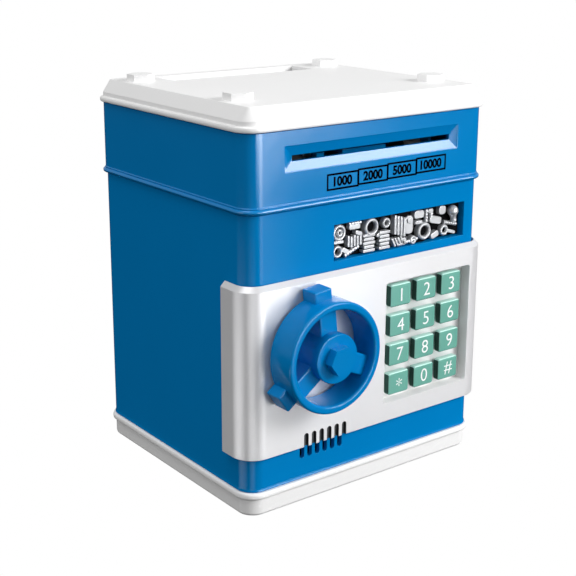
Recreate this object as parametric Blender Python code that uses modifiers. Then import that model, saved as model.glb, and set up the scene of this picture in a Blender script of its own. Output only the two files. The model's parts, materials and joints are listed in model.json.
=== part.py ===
"""A toy cash-machine money bank: a two-storey plastic safe with a swinging door,
a handwheel, a twelve-key pad, a powered banknote feeder and a coin chute.

Frame: X to the right, Y to the back, Z up, origin on the underside of the base at its
centre. Every named size is in millimetres; MM turns it into metres.
"""

import math

import bmesh
import bpy
from mathutils import Matrix, Vector

MM = 0.001
GAP = 0.3              # clearance between pieces that touch in the real toy
PROUD = 5.0            # how far a cutter runs past the face that it opens
WALL = 2.2             # moulded wall thickness

# Casing, half widths along X and half depths along Y.
UPPER_X, UPPER_Y = 69.0, 61.7
LOWER_X, LOWER_Y = 68.4, 61.1
CORNER = 8.2
BASE_TOP = 11.4
BASE_LIP_Z, BASE_LIP = 8.4, 1.5
BASE_FLOOR = 2.0
LOWER_BOTTOM, LOWER_TOP = BASE_TOP + GAP, 136.0
UPPER_BOTTOM, UPPER_TOP = LOWER_TOP + GAP, 170.2
BEAD_HEIGHT, BEAD_PROUD = 3.1, 1.3
CASH_FLOOR_Z, CASH_FLOOR_THICK = 32.3, 2.0

# Top cover.
COVER_BOTTOM = UPPER_TOP + GAP
COVER_FLANGE, COVER_FLANGE_PROUD = 2.5, 1.6
COVER_EAVES, COVER_TOP = 175.3, 180.8
PLATEAU_X, PLATEAU_Y, PLATEAU_CORNER = 64.5, 57.0, 2.0
BOSS_X, BOSS_FRONT_Y, BOSS_BACK_Y, BOSS_RADIUS, BOSS_HEIGHT = 55.8, -37.3, 42.6, 6.75, 3.3
COIN_X0, COIN_X1, COIN_Y0, COIN_Y1 = -36.0, 34.0, 34.5, 51.5
COIN_DEPTH, COIN_RAMP = 3.2, 7.0
COIN_SLOT_X, COIN_SLOT_W, COIN_SLOT_Y = 32.0, 3.2, 43.0
CHUTE_HALF_X, CHUTE_HALF_Y, CHUTE_WALL = 19.0, 6.5, 1.5
CHUTE_BOTTOM = 128.0

# Banknote mouth, a funnel-shaped recess with a narrow slot at its back.
MOUTH_X0, MOUTH_X1, MOUTH_Z0, MOUTH_Z1, MOUTH_DEPTH = -49.6, 50.6, 152.6, 163.8, 1.9
SLOT_X0, SLOT_X1, SLOT_Z0, SLOT_Z1 = -44.4, 46.8, 156.7, 159.2
NOTE_Z = (SLOT_Z0 + SLOT_Z1) / 2

# Window with its picture panel.
WINDOW_X0, WINDOW_X1, WINDOW_Z0, WINDOW_Z1 = -22.0, 57.5, 109.8, 126.3
WINDOW_DEPTH, PICTURE_THICK, WINDOW_FRAME = 4.0, 0.7, 2.0

# Door. It wraps round both front corners and turns about a pin at its right edge.
DOOR_FACE_Y, DOOR_THICK, DOOR_GAP = -64.2, 2.4, 0.7
DOOR_X = LOWER_X + DOOR_GAP + DOOR_THICK
DOOR_BACK_Y = -45.8
DOOR_Z0, DOOR_Z1, DOOR_BEVEL = 27.9, 106.0, 2.2
HINGE_X, HINGE_Y = 71.7, DOOR_BACK_Y
BARREL_R, BARREL_HOLE_R, PIN_R = 2.5, 1.5, 1.15
EAR_HEIGHT = 6.0
OPENING_X0, OPENING_Z0, OPENING_Z1, OPENING_BACK_Y = -60.0, 33.8, 99.6, -46.0
PAN_X0, PAN_X1, PAN_Z0, PAN_Z1 = -57.0, 62.9, 34.8, 98.4
PAN_BACK_Y, PAN_WALL = -48.8, 1.6

# Keypad.
PAD_X0, PAD_X1, PAD_Z0, PAD_Z1, PAD_DEPTH = 6.5, 60.0, 36.9, 95.5, 5.5
PAD_FLOOR_THICK, PAD_WALL = 1.6, 1.3
KEY_COLUMNS = (16.3, 32.3, 48.3)
KEY_TOP_Z, KEY_PITCH_Z = 88.3, 14.3
KEY_NAMES = ("key_1", "key_2", "key_3", "key_4", "key_5", "key_6",
             "key_7", "key_8", "key_9", "key_star", "key_0", "key_hash")
KEY_W, KEY_H, KEY_SUNK, KEY_TRAVEL = 12.7, 10.7, 0.6, 1.1
KEY_STEM, KEY_FLANGE = 7.0, 9.4

# Handwheel.
WHEEL_X, WHEEL_Z = -35.0, 73.2
RING_OUT, RING_IN, RING_BACK_Y, RING_FRONT_Y = 25.0, 21.4, -64.9, -79.8
HUB_R, HUB_FRONT_Y, HEX_R, HEX_FRONT_Y = 11.2, -80.2, 6.8, -84.3
SPOKE_W, SPOKE_FRONT_Y = 9.4, -76.0
TAB_W, TAB_R, TAB_FRONT_Y, TAB_BACK_Y = 9.4, 29.6, -73.9, -64.9
WHEEL_ANGLES = (96.0, 216.0, 336.0)
SHAFT_R = 3.0
CAM_R, CAM_NOTCH_R, CAM_Y0, CAM_Y1 = 12.0, 8.3, -57.0, -53.0
ARM_REACH, ARM_W, ARM_Y0, ARM_Y1 = 25.4, 8.0, -48.4, -45.4

# Vent slots, across the door's lower edge.
VENT_COUNT, VENT_X0, VENT_PITCH, VENT_W = 6, -38.9, 4.35, 2.6
VENT_Z0, VENT_Z1 = 21.2, 34.5

# Banknote feeder.
ROLLER_Y, ROLLER_R, NIP_GAP, SHAFT_HALF, FEED_SHAFT_R = -43.5, 6.0, 0.2, 50.0, 1.5
TYRE_X, TYRE_WIDTH = 35.0, 11.0
GUIDES, GUIDE_GAP = ((-25.0, 2.0), (0.0, 12.5)), 0.5
GUIDE_Y0, GUIDE_Y1, GUIDE_BAR_Z = -54.5, -51.5, 165.0
PLATE_X, PLATE_THICK = 44.0, 2.0
GEAR_MODULE, FEED_TEETH, PINION_TEETH, GEAR_THICK, GEAR_X = 1.0, 20, 8, 3.0, 48.5

# Battery box in the base.
BATTERY_R, BATTERY_LENGTH, BATTERY_ROWS = 7.0, 50.0, (20.8, 35.0, 49.2)
BOX_X, BOX_Y0, BOX_Y1, BOX_TOP = 33.0, 5.0, 58.6, 20.0
POST_Y, POST_R = 10.6, 2.8
SCREW_PLACES = tuple((x, y) for x in (-56.0, 56.0) for y in (-48.0, 48.0))

MAIN = bpy.data.collections.new("toy_atm_savings_bank")
CUTTERS = bpy.data.collections.new("cutters")


def clear_scene():
    """Take out whatever the scene starts with."""
    for obj in list(bpy.data.objects):
        bpy.data.objects.remove(obj, do_unlink=True)
    bpy.context.scene.collection.children.link(MAIN)
    bpy.context.scene.collection.children.link(CUTTERS)


def plastic(name, colour, roughness=0.35, metallic=0.0):
    """A Principled material."""
    material = bpy.data.materials.new(name)
    material.use_nodes = True
    shader = material.node_tree.nodes["Principled BSDF"]
    shader.inputs["Base Color"].default_value = (*colour, 1.0)
    shader.inputs["Roughness"].default_value = roughness
    shader.inputs["Metallic"].default_value = metallic
    return material


BLUE = plastic("blue_plastic", (0.0, 0.23, 0.62), 0.28)
WHITE = plastic("white_plastic", (0.86, 0.86, 0.85), 0.35)
SILVER = plastic("silver_plastic", (0.72, 0.72, 0.73), 0.3, 0.4)
MINT = plastic("mint_plastic", (0.22, 0.60, 0.48), 0.3)
DARK = plastic("dark_plastic", (0.03, 0.03, 0.035), 0.5)
RUBBER = plastic("grey_rubber", (0.12, 0.12, 0.12), 0.8)
STEEL = plastic("steel", (0.6, 0.6, 0.62), 0.3, 1.0)
BOARD = plastic("circuit_board", (0.02, 0.20, 0.08), 0.5)
CELL = plastic("battery_sleeve", (0.05, 0.05, 0.06), 0.35)
PRINT = plastic("picture_print", (0.10, 0.10, 0.11), 0.25)
GEAR = plastic("gear_nylon", (0.80, 0.78, 0.70), 0.45)


def place(name, mesh, material, location=(0, 0, 0), rotation=(0, 0, 0), cutter=False):
    """Put a mesh in the scene as a named part, or as a cutter."""
    obj = bpy.data.objects.new(name, mesh)
    obj.location = Vector(location) * MM
    obj.rotation_euler = [math.radians(a) for a in rotation]
    if material is not None:
        mesh.materials.append(material)
    mesh.shade_smooth()
    mesh.set_sharp_from_angle(angle=math.radians(30))
    if cutter:
        obj.hide_render = True
        obj.display_type = "WIRE"
        CUTTERS.objects.link(obj)
    else:
        MAIN.objects.link(obj)
    return obj


def block_mesh(low, high, corner=0.0, axis="Z", edge=0.0, segments=5, open_ends=False):
    """A box from low to high. corner rounds the four edges along axis; edge rounds the
    rims of its two end faces. open_ends takes those two faces out."""
    low, high = Vector(low), Vector(high)
    along = "XYZ".index(axis)
    bm = bmesh.new()
    bmesh.ops.create_cube(bm, size=1.0)
    bmesh.ops.scale(bm, vec=(high - low) * MM, verts=bm.verts)
    bmesh.ops.translate(bm, vec=(high + low) / 2 * MM, verts=bm.verts)
    if corner:
        edges = [e for e in bm.edges
                 if abs((e.verts[0].co - e.verts[1].co).normalized()[along]) > 0.99]
        bmesh.ops.bevel(bm, geom=edges, offset=corner * MM, segments=segments,
                        profile=0.5, affect="EDGES")
    ends = [f for f in bm.faces if abs(f.normal[along]) > 0.99]
    if edge:
        rims = {e for f in ends for e in f.edges}
        bmesh.ops.bevel(bm, geom=list(rims), offset=edge * MM, segments=2,
                        profile=0.5, affect="EDGES")
    if open_ends:
        bmesh.ops.delete(bm, geom=ends, context="FACES_ONLY")
    return finished(bm, "block")


def finished(bm, name):
    """The bmesh as a mesh with its normals facing out."""
    bmesh.ops.recalc_face_normals(bm, faces=bm.faces)
    mesh = bpy.data.meshes.new(name)
    bm.to_mesh(mesh)
    bm.free()
    return mesh


def block(name, low, high, material, **options):
    """A rounded box as a part of its own."""
    return place(name, block_mesh(low, high, **options), material)


def combine(obj, operation, mesh, location=(0, 0, 0), rotation=(0, 0, 0)):
    """Cut a mesh out of obj, or join it on, with a Boolean modifier."""
    label = f"{obj.name}_{operation.lower()}_{len(obj.modifiers)}"
    cutter = place(label, mesh, None, location, rotation, cutter=True)
    modifier = obj.modifiers.new(label, "BOOLEAN")
    modifier.operation = operation
    modifier.solver = "EXACT"
    modifier.object = cutter
    return cutter


def cut(obj, mesh, location=(0, 0, 0), rotation=(0, 0, 0)):
    """Take mesh away from obj."""
    return combine(obj, "DIFFERENCE", mesh, location, rotation)


def join(obj, mesh, location=(0, 0, 0), rotation=(0, 0, 0)):
    """Add mesh to obj."""
    return combine(obj, "UNION", mesh, location, rotation)


def rod_mesh(radius, length, sides=20, tip_radius=None):
    """A cylinder or cone frustum about Z, from 0 to length."""
    bm = bmesh.new()
    tip = radius if tip_radius is None else tip_radius
    bmesh.ops.create_cone(bm, cap_ends=True, segments=sides, radius1=radius * MM,
                          radius2=tip * MM, depth=length * MM)
    bmesh.ops.translate(bm, vec=(0, 0, length * MM / 2), verts=bm.verts)
    return finished(bm, "rod")


def shell(name, half_x, half_y, bottom, top, corner, thick, material, segments=5):
    """A rounded rectangular tube, open at both ends, its wall thickened inwards."""
    mesh = block_mesh((-half_x, -half_y, bottom), (half_x, half_y, top), corner=corner,
                      segments=segments, open_ends=True)
    obj = place(name, mesh, material)
    thicken(obj, thick)
    return obj


def thicken(obj, thick):
    """Give an open surface its wall, inwards."""
    solidify = obj.modifiers.new("wall", "SOLIDIFY")
    solidify.thickness = thick * MM
    solidify.offset = -1
    solidify.use_even_offset = True


def join_shell(obj, half_x, half_y, bottom, top, corner, thick):
    """Add a rounded rectangular band to obj, its wall thickened inwards."""
    mesh = block_mesh((-half_x, -half_y, bottom), (half_x, half_y, top), corner=corner,
                      open_ends=True)
    thicken(join(obj, mesh), thick)


def turned(name, profile, material, location, rotation=(0, 0, 0), steps=32):
    """A turned piece. The profile's (radius, height) points run down its outer side; a
    profile that doesn't reach the axis is a closed ring, its last point its first."""
    bm = bmesh.new()
    closed = profile[0] == profile[-1]
    points = profile[:-1] if closed else profile
    verts = [bm.verts.new((r * MM, 0, h * MM)) for r, h in points]
    for first, second in zip(verts, verts[1:] + verts[:1] if closed else verts[1:]):
        bm.edges.new((first, second))
    mesh = bpy.data.meshes.new(name)
    bm.to_mesh(mesh)
    bm.free()
    obj = place(name, mesh, material, location, rotation)
    screw = obj.modifiers.new("turn", "SCREW")
    screw.axis = "Z"
    screw.angle = math.tau
    screw.steps = steps
    screw.render_steps = steps
    screw.use_merge_vertices = True
    screw.merge_threshold = 1e-5
    screw.use_smooth_shade = True
    return obj


def outline_mesh(outline, thick, holes=()):
    """A flat plate about the XY plane, thick along Z, from a 2D curve's outline."""
    curve = bpy.data.curves.new("outline", "CURVE")
    curve.dimensions = "2D"
    curve.fill_mode = "BOTH"
    curve.extrude = thick * MM / 2
    for loop in (outline, *holes):
        spline = curve.splines.new("POLY")
        spline.points.add(len(loop) - 1)
        for point, (x, y) in zip(spline.points, loop):
            point.co = (x * MM, y * MM, 0, 1)
        spline.use_cyclic_u = True
    guide = bpy.data.objects.new("outline", curve)
    bpy.context.scene.collection.objects.link(guide)
    graph = bpy.context.evaluated_depsgraph_get()
    bm = bmesh.new()
    bm.from_mesh(bpy.data.meshes.new_from_object(guide.evaluated_get(graph)))
    bpy.data.objects.remove(guide, do_unlink=True)
    bmesh.ops.remove_doubles(bm, verts=bm.verts, dist=1e-6)
    return finished(bm, "plate")


def circle(radius, count, turn=0.0, centre=(0.0, 0.0)):
    """Points of a regular polygon, the first at angle turn in degrees."""
    steps = [math.radians(turn + 360 * i / count) for i in range(count)]
    return [(centre[0] + radius * math.cos(a), centre[1] + radius * math.sin(a))
            for a in steps]


def gear_outline(teeth, module):
    """A plain gear: trapezoid teeth, thinner than their gaps so that two gears run free."""
    pitch_radius = teeth * module / 2
    tip, root = pitch_radius + 0.85 * module, pitch_radius - 1.15 * module
    tooth = math.tau / teeth
    points = []
    for i in range(teeth):
        for radius, part in ((root, -0.27), (tip, -0.12), (tip, 0.12), (root, 0.27)):
            angle = tooth * (i + part)
            points.append((radius * math.cos(angle), radius * math.sin(angle)))
    return points


def stadium_mesh(width, low_z, high_z, front_y, back_y):
    """An upright slot cutter with round ends, centred on X = 0."""
    mesh = block_mesh((-width / 2, front_y, low_z), (width / 2, back_y, high_z),
                      corner=width / 2 - 0.01, axis="Y", segments=4)
    return mesh


def make_base_tray():
    """The white tray with its lip, battery box, speaker grille and screw bosses."""
    tray = place("base_tray", block_mesh((-LOWER_X, -LOWER_Y, 0), (LOWER_X, LOWER_Y, BASE_TOP - 1),
                                         corner=CORNER), WHITE)
    lip = block_mesh((-LOWER_X - BASE_LIP, -LOWER_Y - BASE_LIP, BASE_LIP_Z),
                     (LOWER_X + BASE_LIP, LOWER_Y + BASE_LIP, BASE_TOP),
                     corner=CORNER + BASE_LIP, edge=0.8)
    join(tray, lip)
    inner = LOWER_X - WALL
    cut(tray, block_mesh((-inner, WALL - LOWER_Y, BASE_FLOOR),
                         (inner, LOWER_Y - WALL, BASE_TOP + PROUD), corner=CORNER - WALL))
    join(tray, block_mesh((-BOX_X, BOX_Y0, 1), (BOX_X, BOX_Y1, BOX_TOP)))
    cut(tray, block_mesh((WALL - BOX_X, BOX_Y0 + WALL, -PROUD),
                         (BOX_X - WALL, BOX_Y1 - WALL, BOX_TOP - 1.6)))
    join(tray, block_mesh((-POST_R, BOX_Y0 + 1, BASE_FLOOR + GAP),
                          (POST_R, POST_Y + POST_R, BOX_TOP - 1)))
    cut(tray, rod_mesh(1.6, 8, 12), (0, POST_Y, 0))
    for x, y in SCREW_PLACES:
        cut(tray, rod_mesh(1.9, 6, 12), (x, y, -2))
        cut(tray, rod_mesh(3.4, 2.2, 16), (x, y, -1), (0, 0, 5))
    for i in range(-2, 3):
        cut(tray, stadium_mesh(2.4, -12.0, 12.0, -PROUD, PROUD), (i * 6.0, -32, 0), (90, 0, 0))
    return tray


def make_lower_body():
    """The blue lower casing: cash floor, door opening, window, vents and hinge ears."""
    body = shell("lower_body", LOWER_X, LOWER_Y, LOWER_BOTTOM, LOWER_TOP, CORNER, WALL, BLUE)
    middle = WALL / 2
    join(body, block_mesh((middle - LOWER_X, middle - LOWER_Y, CASH_FLOOR_Z - CASH_FLOOR_THICK),
                          (LOWER_X - middle, LOWER_Y - middle, CASH_FLOOR_Z),
                          corner=CORNER - middle))
    frame = WINDOW_FRAME
    back = WINDOW_DEPTH + PICTURE_THICK + GAP
    join(body, block_mesh((WINDOW_X0 - frame, middle - LOWER_Y, WINDOW_Z0 - frame),
                          (WINDOW_X1 + frame, back + frame - LOWER_Y, WINDOW_Z1 + frame)))
    cut(body, block_mesh((WINDOW_X0, -LOWER_Y - PROUD, WINDOW_Z0),
                         (WINDOW_X1, back - LOWER_Y, WINDOW_Z1)))
    cut(body, block_mesh((OPENING_X0, -LOWER_Y - PROUD, OPENING_Z0),
                         (LOWER_X + PROUD, OPENING_BACK_Y, OPENING_Z1)))
    keeper_low = (middle - LOWER_X, -52.0, WHEEL_Z - 8)
    join(body, block_mesh(keeper_low, (-57.9, -49.5, WHEEL_Z + 8)))
    for i in range(VENT_COUNT):
        slot = stadium_mesh(VENT_W, VENT_Z0, OPENING_Z0 - 4.0, -LOWER_Y - PROUD, 4 - LOWER_Y)
        cut(body, slot, (VENT_X0 + VENT_PITCH * i, 0, 0))
    for low in (DOOR_Z0 - GAP - EAR_HEIGHT, DOOR_Z1 + GAP):
        join(body, block_mesh((LOWER_X - middle, HINGE_Y - BARREL_R, low),
                              (HINGE_X + BARREL_R, HINGE_Y + BARREL_R, low + EAR_HEIGHT),
                              edge=0.5))
        cut(body, rod_mesh(BARREL_HOLE_R, EAR_HEIGHT + 4, 16), (HINGE_X, HINGE_Y, low - 2))
    for x, y in SCREW_PLACES:
        join(body, rod_mesh(5.0, CASH_FLOOR_Z - LOWER_BOTTOM - 1, 16), (x, y, LOWER_BOTTOM))
        cut(body, rod_mesh(1.7, 12), (x, y, LOWER_BOTTOM - 1))
    return body


def make_upper_body():
    """The blue upper casing: bead, skirt, deck and banknote mouth."""
    body = shell("upper_body", UPPER_X, UPPER_Y, UPPER_BOTTOM, UPPER_TOP, CORNER, WALL, BLUE)
    bead = block_mesh((-UPPER_X - BEAD_PROUD, -UPPER_Y - BEAD_PROUD, UPPER_BOTTOM),
                      (UPPER_X + BEAD_PROUD, UPPER_Y + BEAD_PROUD, UPPER_BOTTOM + BEAD_HEIGHT),
                      corner=CORNER + BEAD_PROUD, edge=0.9)
    join(body, bead)
    room_x, room_y = UPPER_X - WALL - GAP, UPPER_Y - WALL - GAP
    cut(body, block_mesh((-room_x, -room_y, UPPER_BOTTOM + 1.8), (room_x, room_y, UPPER_TOP - 8),
                         corner=CORNER - WALL))
    join_shell(body, LOWER_X - WALL - GAP, LOWER_Y - WALL - GAP, UPPER_BOTTOM - 5,
               UPPER_BOTTOM + 1, CORNER - WALL - GAP, 1.6)
    cut(body, block_mesh((-54, -52, UPPER_BOTTOM - 8), (54, 54, UPPER_BOTTOM + PROUD), corner=3))
    join(body, block_mesh((MOUTH_X0 - 3, WALL / 2 - UPPER_Y, MOUTH_Z0 - 3),
                          (MOUTH_X1 + 3, MOUTH_DEPTH + 1.8 - UPPER_Y, MOUTH_Z1 + 3)))
    cut(body, funnel_mesh(), (0, -UPPER_Y, 0))
    cut(body, block_mesh((SLOT_X0, -UPPER_Y, SLOT_Z0), (SLOT_X1, PROUD - UPPER_Y, SLOT_Z1)))
    return body


def funnel_mesh():
    """The mouth's tapering recess, wide at the front, as a cutter about Y = 0."""
    bm = bmesh.new()
    bmesh.ops.create_cube(bm, size=1.0)
    for vert in bm.verts:
        if vert.co.y < 0:
            sides, levels, y = (MOUTH_X0, MOUTH_X1), (MOUTH_Z0, MOUTH_Z1), 0
        else:
            sides, levels, y = (SLOT_X0, SLOT_X1), (SLOT_Z0, SLOT_Z1), MOUTH_DEPTH
        vert.co = Vector((sides[vert.co.x > 0], y, levels[vert.co.z > 0])) * MM
    lead = [f for f in bm.faces if f.normal.y < -0.9]
    grown = bmesh.ops.extrude_face_region(bm, geom=lead)
    moved = [v for v in grown["geom"] if isinstance(v, bmesh.types.BMVert)]
    bmesh.ops.translate(bm, vec=(0, -PROUD * MM, 0), verts=moved)
    bmesh.ops.delete(bm, geom=lead, context="FACES_ONLY")
    return finished(bm, "funnel")


def make_top_cover():
    """The white hipped cover with its flange, four hexagonal bosses and coin slot."""
    bm = bmesh.new()
    bm.from_mesh(block_mesh((-UPPER_X, -UPPER_Y, COVER_BOTTOM), (UPPER_X, UPPER_Y, COVER_EAVES),
                            corner=CORNER))
    bm.faces.ensure_lookup_table()
    lid = [f for f in bm.faces if f.normal.z > 0.99]
    grown = bmesh.ops.extrude_face_region(bm, geom=lid)
    raised = [v for v in grown["geom"] if isinstance(v, bmesh.types.BMVert)]
    tighter = PLATEAU_CORNER / CORNER
    for vert in raised:
        x = PLATEAU_X - (UPPER_X - abs(vert.co.x) / MM) * tighter
        y = PLATEAU_Y - (UPPER_Y - abs(vert.co.y) / MM) * tighter
        vert.co = Vector((math.copysign(x, vert.co.x), math.copysign(y, vert.co.y), COVER_TOP)) * MM
    bmesh.ops.delete(bm, geom=lid, context="FACES_ONLY")
    bmesh.ops.delete(bm, geom=[f for f in bm.faces if f.normal.z < -0.99], context="FACES_ONLY")
    cover = place("top_cover", finished(bm, "cover"), WHITE)
    thicken(cover, 2.0)
    flange = block_mesh((-UPPER_X - COVER_FLANGE_PROUD, -UPPER_Y - COVER_FLANGE_PROUD, COVER_BOTTOM),
                        (UPPER_X + COVER_FLANGE_PROUD, UPPER_Y + COVER_FLANGE_PROUD,
                         COVER_BOTTOM + COVER_FLANGE), corner=CORNER + COVER_FLANGE_PROUD, edge=0.9)
    join(cover, flange)
    inner_x, inner_y = UPPER_X - WALL - 2.0, UPPER_Y - WALL - 2.0
    cut(cover, block_mesh((-inner_x, -inner_y, COVER_BOTTOM - 1),
                          (inner_x, inner_y, COVER_EAVES - 0.5), corner=4.5))
    join_shell(cover, UPPER_X - WALL - GAP, UPPER_Y - WALL - GAP, COVER_BOTTOM - 3.5,
               COVER_BOTTOM + 1, CORNER - WALL - GAP, 1.6)
    join(cover, block_mesh((COIN_X0 - 2, COIN_Y0 - 2, COVER_TOP - COIN_DEPTH - 2),
                           (COIN_X1 + 2, COIN_Y1 + 2, COVER_TOP - 0.5)))
    cut(cover, coin_recess_mesh())
    cut(cover, block_mesh((-COIN_SLOT_X / 2, COIN_SLOT_Y - COIN_SLOT_W / 2, COVER_TOP - 12),
                          (COIN_SLOT_X / 2, COIN_SLOT_Y + COIN_SLOT_W / 2, COVER_TOP)))
    for x, y in [(x, y) for x in (-BOSS_X, BOSS_X) for y in (BOSS_FRONT_Y, BOSS_BACK_Y)]:
        boss = join(cover, rod_mesh(BOSS_RADIUS, BOSS_HEIGHT + 1, 6, BOSS_RADIUS - 0.2),
                    (x, y, COVER_TOP - 1))
        boss.data.shade_flat()
    return cover


def coin_recess_mesh():
    """The coin recess: a shallow trough whose two ends are ramps."""
    bm = bmesh.new()
    bm.from_mesh(block_mesh((COIN_X0, COIN_Y0, COVER_TOP - COIN_DEPTH),
                            (COIN_X1, COIN_Y1, COVER_TOP + COIN_DEPTH)))
    for vert in bm.verts:
        if vert.co.z < COVER_TOP * MM:
            vert.co.x -= math.copysign(COIN_RAMP * MM, vert.co.x)
        else:
            vert.co.x += math.copysign(COIN_RAMP * MM, vert.co.x)
    return finished(bm, "trough")


def make_coin_chute():
    """The rectangular tube that drops coins from the slot into the cash room."""
    top = COVER_TOP - COIN_DEPTH - 2 - GAP
    mesh = block_mesh((-CHUTE_HALF_X, COIN_SLOT_Y - CHUTE_HALF_Y, CHUTE_BOTTOM),
                      (CHUTE_HALF_X, COIN_SLOT_Y + CHUTE_HALF_Y, top), corner=2, segments=2,
                      open_ends=True)
    thicken(place("coin_chute", mesh, BLUE), CHUTE_WALL)


def make_door_panel():
    """The silver door skin: front face, corner wraps, pad recess and hinge barrel."""
    outer = block_mesh((-DOOR_X, DOOR_FACE_Y, DOOR_Z0), (DOOR_X, 0, DOOR_Z1), corner=CORNER + 2.5,
                       segments=6)
    door = place("door_panel", bevelled_top(outer), SILVER)
    inner_x = LOWER_X + DOOR_GAP
    cut(door, block_mesh((-inner_x, DOOR_FACE_Y + DOOR_THICK, DOOR_Z0 - PROUD),
                         (inner_x, PROUD, DOOR_Z1 + PROUD), corner=CORNER, segments=6))
    cut(door, block_mesh((-DOOR_X - PROUD, DOOR_BACK_Y, DOOR_Z0 - PROUD),
                         (DOOR_X + PROUD, 2 * PROUD, DOOR_Z1 + PROUD)))
    floor_y = DOOR_FACE_Y + PAD_DEPTH
    join(door, block_mesh((PAD_X0 - PAD_WALL, DOOR_FACE_Y + 1, PAD_Z0 - PAD_WALL),
                          (PAD_X1 + PAD_WALL, floor_y + PAD_FLOOR_THICK, PAD_Z1 + PAD_WALL)))
    cut(door, block_mesh((PAD_X0, DOOR_FACE_Y - PROUD, PAD_Z0), (PAD_X1, floor_y, PAD_Z1),
                         corner=1.5, axis="Y", segments=3))
    for x, z in key_places():
        half = KEY_STEM / 2 + 0.4
        cut(door, block_mesh((x - half, floor_y - 2, z - half), (x + half, floor_y + 4, z + half)))
    cut(door, rod_mesh(SHAFT_R + 0.4, 12), (WHEEL_X, DOOR_FACE_Y + 6, WHEEL_Z), (90, 0, 0))
    for i in range(VENT_COUNT):
        notch = stadium_mesh(VENT_W, VENT_Z0, VENT_Z1, DOOR_FACE_Y - PROUD, DOOR_FACE_Y + 1.5)
        cut(door, notch, (VENT_X0 + VENT_PITCH * i, 0, 0))
    height = DOOR_Z1 - DOOR_Z0
    join(door, rod_mesh(BARREL_R, height, 20), (HINGE_X, HINGE_Y, DOOR_Z0))
    cut(door, rod_mesh(BARREL_HOLE_R, height + 4, 16), (HINGE_X, HINGE_Y, DOOR_Z0 - 2))
    return door


def bevelled_top(mesh):
    """Slope the upper rim of the door in by its bevel."""
    bm = bmesh.new()
    bm.from_mesh(mesh)
    rims = [e for f in bm.faces if f.normal.z > 0.99 for e in f.edges]
    bmesh.ops.bevel(bm, geom=rims, offset=DOOR_BEVEL * MM, segments=1, affect="EDGES")
    return finished(bm, "door")


def key_places():
    """Centres of the twelve keys in X and Z, row by row from the top left."""
    return [(x, KEY_TOP_Z - KEY_PITCH_Z * row) for row in range(4) for x in KEY_COLUMNS]


def make_door_back():
    """The blue pan behind the door skin that holds the pad and the lock."""
    front = DOOR_FACE_Y + DOOR_THICK + GAP
    pan = block("door_back", (PAN_X0, front, PAN_Z0), (PAN_X1, PAN_BACK_Y, PAN_Z1), BLUE,
                corner=1.0, axis="Y", segments=1)
    cut(pan, block_mesh((PAN_X0 + PAN_WALL, front - PROUD, PAN_Z0 + PAN_WALL),
                        (PAN_X1 - PAN_WALL, PAN_BACK_Y - PAN_WALL, PAN_Z1 - PAN_WALL)))
    cut(pan, block_mesh((PAD_X0 - PAD_WALL - GAP, front - PROUD, PAN_Z0 - PROUD),
                        (PAD_X1 + PAD_WALL + GAP, front + 5.0, PAN_Z1 + PROUD)))
    cut(pan, rod_mesh(SHAFT_R + 0.4, 12), (WHEEL_X, PAN_BACK_Y + 6, WHEEL_Z), (90, 0, 0))


def make_pad_layers():
    """The rubber contact sheet and the circuit board behind the keys."""
    floor_back = DOOR_FACE_Y + PAD_DEPTH + PAD_FLOOR_THICK
    sheet_y = floor_back + 0.3 + 1.0 + KEY_TRAVEL + GAP
    low_x, high_x, low_z, high_z = PAD_X0 + 2, PAD_X1 - 2, PAD_Z0 + 2, PAD_Z1 - 2
    block("keypad_membrane", (low_x, sheet_y, low_z), (high_x, sheet_y + 1.1, high_z), RUBBER)
    board_y = sheet_y + 1.1 + GAP
    block("keypad_board", (low_x, board_y, low_z), (high_x, board_y + 1.3, high_z), BOARD)


def make_keys():
    """Twelve key caps, each with a stem through the pad floor and a catch behind it."""
    front = DOOR_FACE_Y + KEY_SUNK
    floor_y = DOOR_FACE_Y + PAD_DEPTH
    catch_y = floor_y + PAD_FLOOR_THICK + 0.3
    for name, (x, z) in zip(KEY_NAMES, key_places()):
        cap = block_mesh((-KEY_W / 2, 0, -KEY_H / 2),
                         (KEY_W / 2, floor_y - front - KEY_TRAVEL - GAP, KEY_H / 2),
                         corner=1.5, axis="Y", edge=0.4, segments=2)
        key = place(name, cap, MINT, (x, front, z))
        half = KEY_STEM / 2
        join(key, block_mesh((-half, 1.5, -half), (half, catch_y + 0.5 - front, half)),
             (x, front, z))
        half = KEY_FLANGE / 2
        join(key, block_mesh((-half, catch_y - front, -half), (half, catch_y + 1 - front, half)),
             (x, front, z))


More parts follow.
